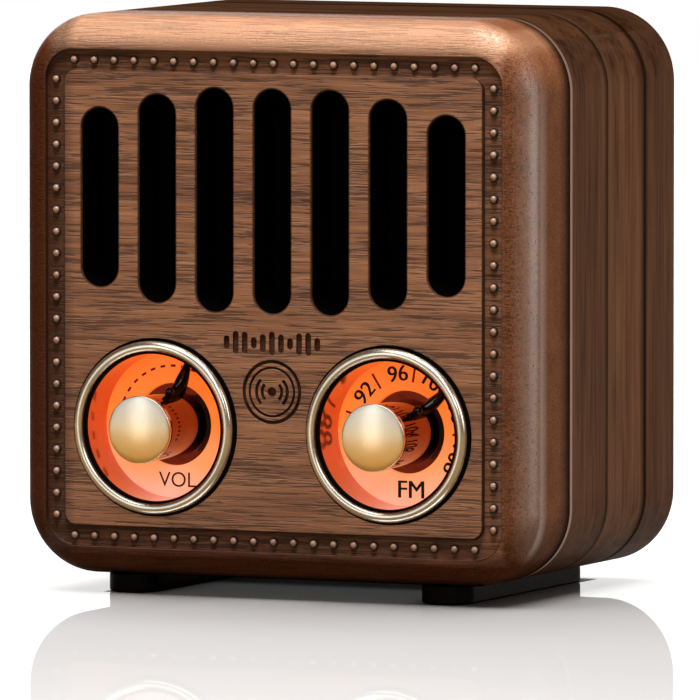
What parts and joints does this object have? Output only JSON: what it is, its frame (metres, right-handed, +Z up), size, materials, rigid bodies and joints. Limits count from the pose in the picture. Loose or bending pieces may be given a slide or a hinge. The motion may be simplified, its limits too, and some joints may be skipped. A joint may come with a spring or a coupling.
{
  "type": "tabletop radio",
  "caption": "Small walnut tabletop radio with a slotted grille, a studded border, two lit round dials with turning knobs, and rubber rail feet.",
  "frame": {"origin": "middle of the overall box's footprint, on the surface the feet stand on", "axes": "+Z up, front face towards -Y, +X to the viewer's right when facing the front"},
  "size_m": [0.1, 0.0776, 0.1045],
  "materials": {
    "walnut_front": "oiled walnut, grain across",
    "walnut_stud": "oiled walnut, carved",
    "walnut_ring_front": "oiled walnut, grain along each stave",
    "walnut_ring_middle": "oiled walnut, grain along each stave",
    "walnut_ring_rear": "oiled walnut, grain along each stave",
    "pine_block": "sawn softwood",
    "rear_board": "fine leather-grain black",
    "black_screw": "black oxide",
    "foot_rubber": "matt",
    "zinc_screw": "zinc plated",
    "black_cloth": "woven",
    "black_plastic": "moulded",
    "foam": "closed-cell foam",
    "driver_steel": "pressed, powder coated",
    "surround_rubber": "satin",
    "spider_cloth": "resin-dipped cloth",
    "zinc_plate": "zinc plated",
    "ferrite": "sintered ferrite",
    "tag_board": "phenolic board",
    "cone_paper": "pressed paper, coated",
    "copper_coil": "enamelled copper wire",
    "gasket_rubber": "satin",
    "led": "lit amber",
    "circuit_board": "solder mask",
    "brass_post": "turned",
    "chip_plastic": "epoxy",
    "capacitor_sleeve": "shrink sleeve",
    "battery_wrap": "shrink film",
    "switch_steel": "pressed",
    "socket_steel": "pressed",
    "wire_sleeve": "PVC sleeve",
    "champagne_chrome": "champagne plating",
    "lit_dial": "translucent, lit from behind",
    "white_board": "white solder mask",
    "knob_metal": "polished",
    "knob_cap_metal": "satin, champagne",
    "pointer_black": "gloss",
    "shaft_steel": "turned",
    "pot_case": "pressed"
  },
  "bodies": {
    "cabinet": {"front_slab": "walnut_front", "band_studs": "walnut_stud", "ring_front": "walnut_ring_front", "ring_middle": "walnut_ring_middle", "ring_rear": "walnut_ring_rear", "corner_blocks": "pine_block", "rear_panel": "rear_board", "rear_screws": "black_screw", "foot_left": "foot_rubber", "foot_right": "foot_rubber", "foot_screws": "zinc_screw", "grille_cloth": "black_cloth", "baffle": "black_plastic", "speaker_gasket": "foam", "speaker_frame": "driver_steel", "speaker_surround": "surround_rubber", "speaker_spider": "spider_cloth", "speaker_top_plate": "zinc_plate", "speaker_magnet": "ferrite", "speaker_yoke": "zinc_plate", "speaker_tag": "tag_board", "speaker_screws": "zinc_screw", "dial_gaskets": "gasket_rubber", "dial_leds": "led", "lock_nuts": "zinc_plate", "control_board": "circuit_board", "main_board": "circuit_board", "board_standoffs": "brass_post", "board_screws": "zinc_screw", "board_chips": "chip_plastic", "board_capacitors": "capacitor_sleeve", "battery": "battery_wrap", "battery_pad": "foam", "mode_switch": "switch_steel", "charge_socket": "socket_steel", "card_reader": "socket_steel", "aux_jack": "black_plastic", "wiring": "wire_sleeve", "volume_bezel": "champagne_chrome", "volume_dial": "lit_dial", "volume_lamp_housing": "black_plastic", "volume_led_board": "white_board", "tuning_bezel": "champagne_chrome", "tuning_dial": "lit_dial", "tuning_lamp_housing": "black_plastic", "tuning_led_board": "white_board", "volume_pot": "pot_case", "tuning_capacitor": "pot_case"},
    "volume_control": {"volume_knob": "knob_metal", "volume_knob_cap": "knob_cap_metal", "volume_pointer": "pointer_black", "volume_shaft": "shaft_steel"},
    "tuning_control": {"tuning_knob": "knob_metal", "tuning_knob_cap": "knob_cap_metal", "tuning_pointer": "pointer_black", "tuning_shaft": "shaft_steel"},
    "cone_assembly": {"speaker_cone": "cone_paper", "dust_cap": "cone_paper", "voice_coil": "copper_coil"},
    "switch_slide": {"mode_slider": "black_plastic"}
  },
  "joints": [
    {"name": "volume_turn", "type": "hinge", "parent": "cabinet", "child": "volume_control", "pos_m": [-0.0229, -0.0312, 0.0305], "axis": [0, 1, 0], "range_deg": [-168, 132]},
    {"name": "tuning_turn", "type": "hinge", "parent": "cabinet", "child": "tuning_control", "pos_m": [0.0229, -0.0312, 0.0305], "axis": [0, 1, 0], "range_deg": [-148, 72]},
    {"name": "cone_travel", "type": "slide", "parent": "cabinet", "child": "cone_assembly", "axis": [0, 1, 0], "range_m": [-0.0006, 0.0006], "stiffness_N_per_m": 900},
    {"name": "mode_select", "type": "slide", "parent": "cabinet", "child": "switch_slide", "axis": [1, 0, 0], "range_m": [-0.0018, 0.0018]}
  ]
}
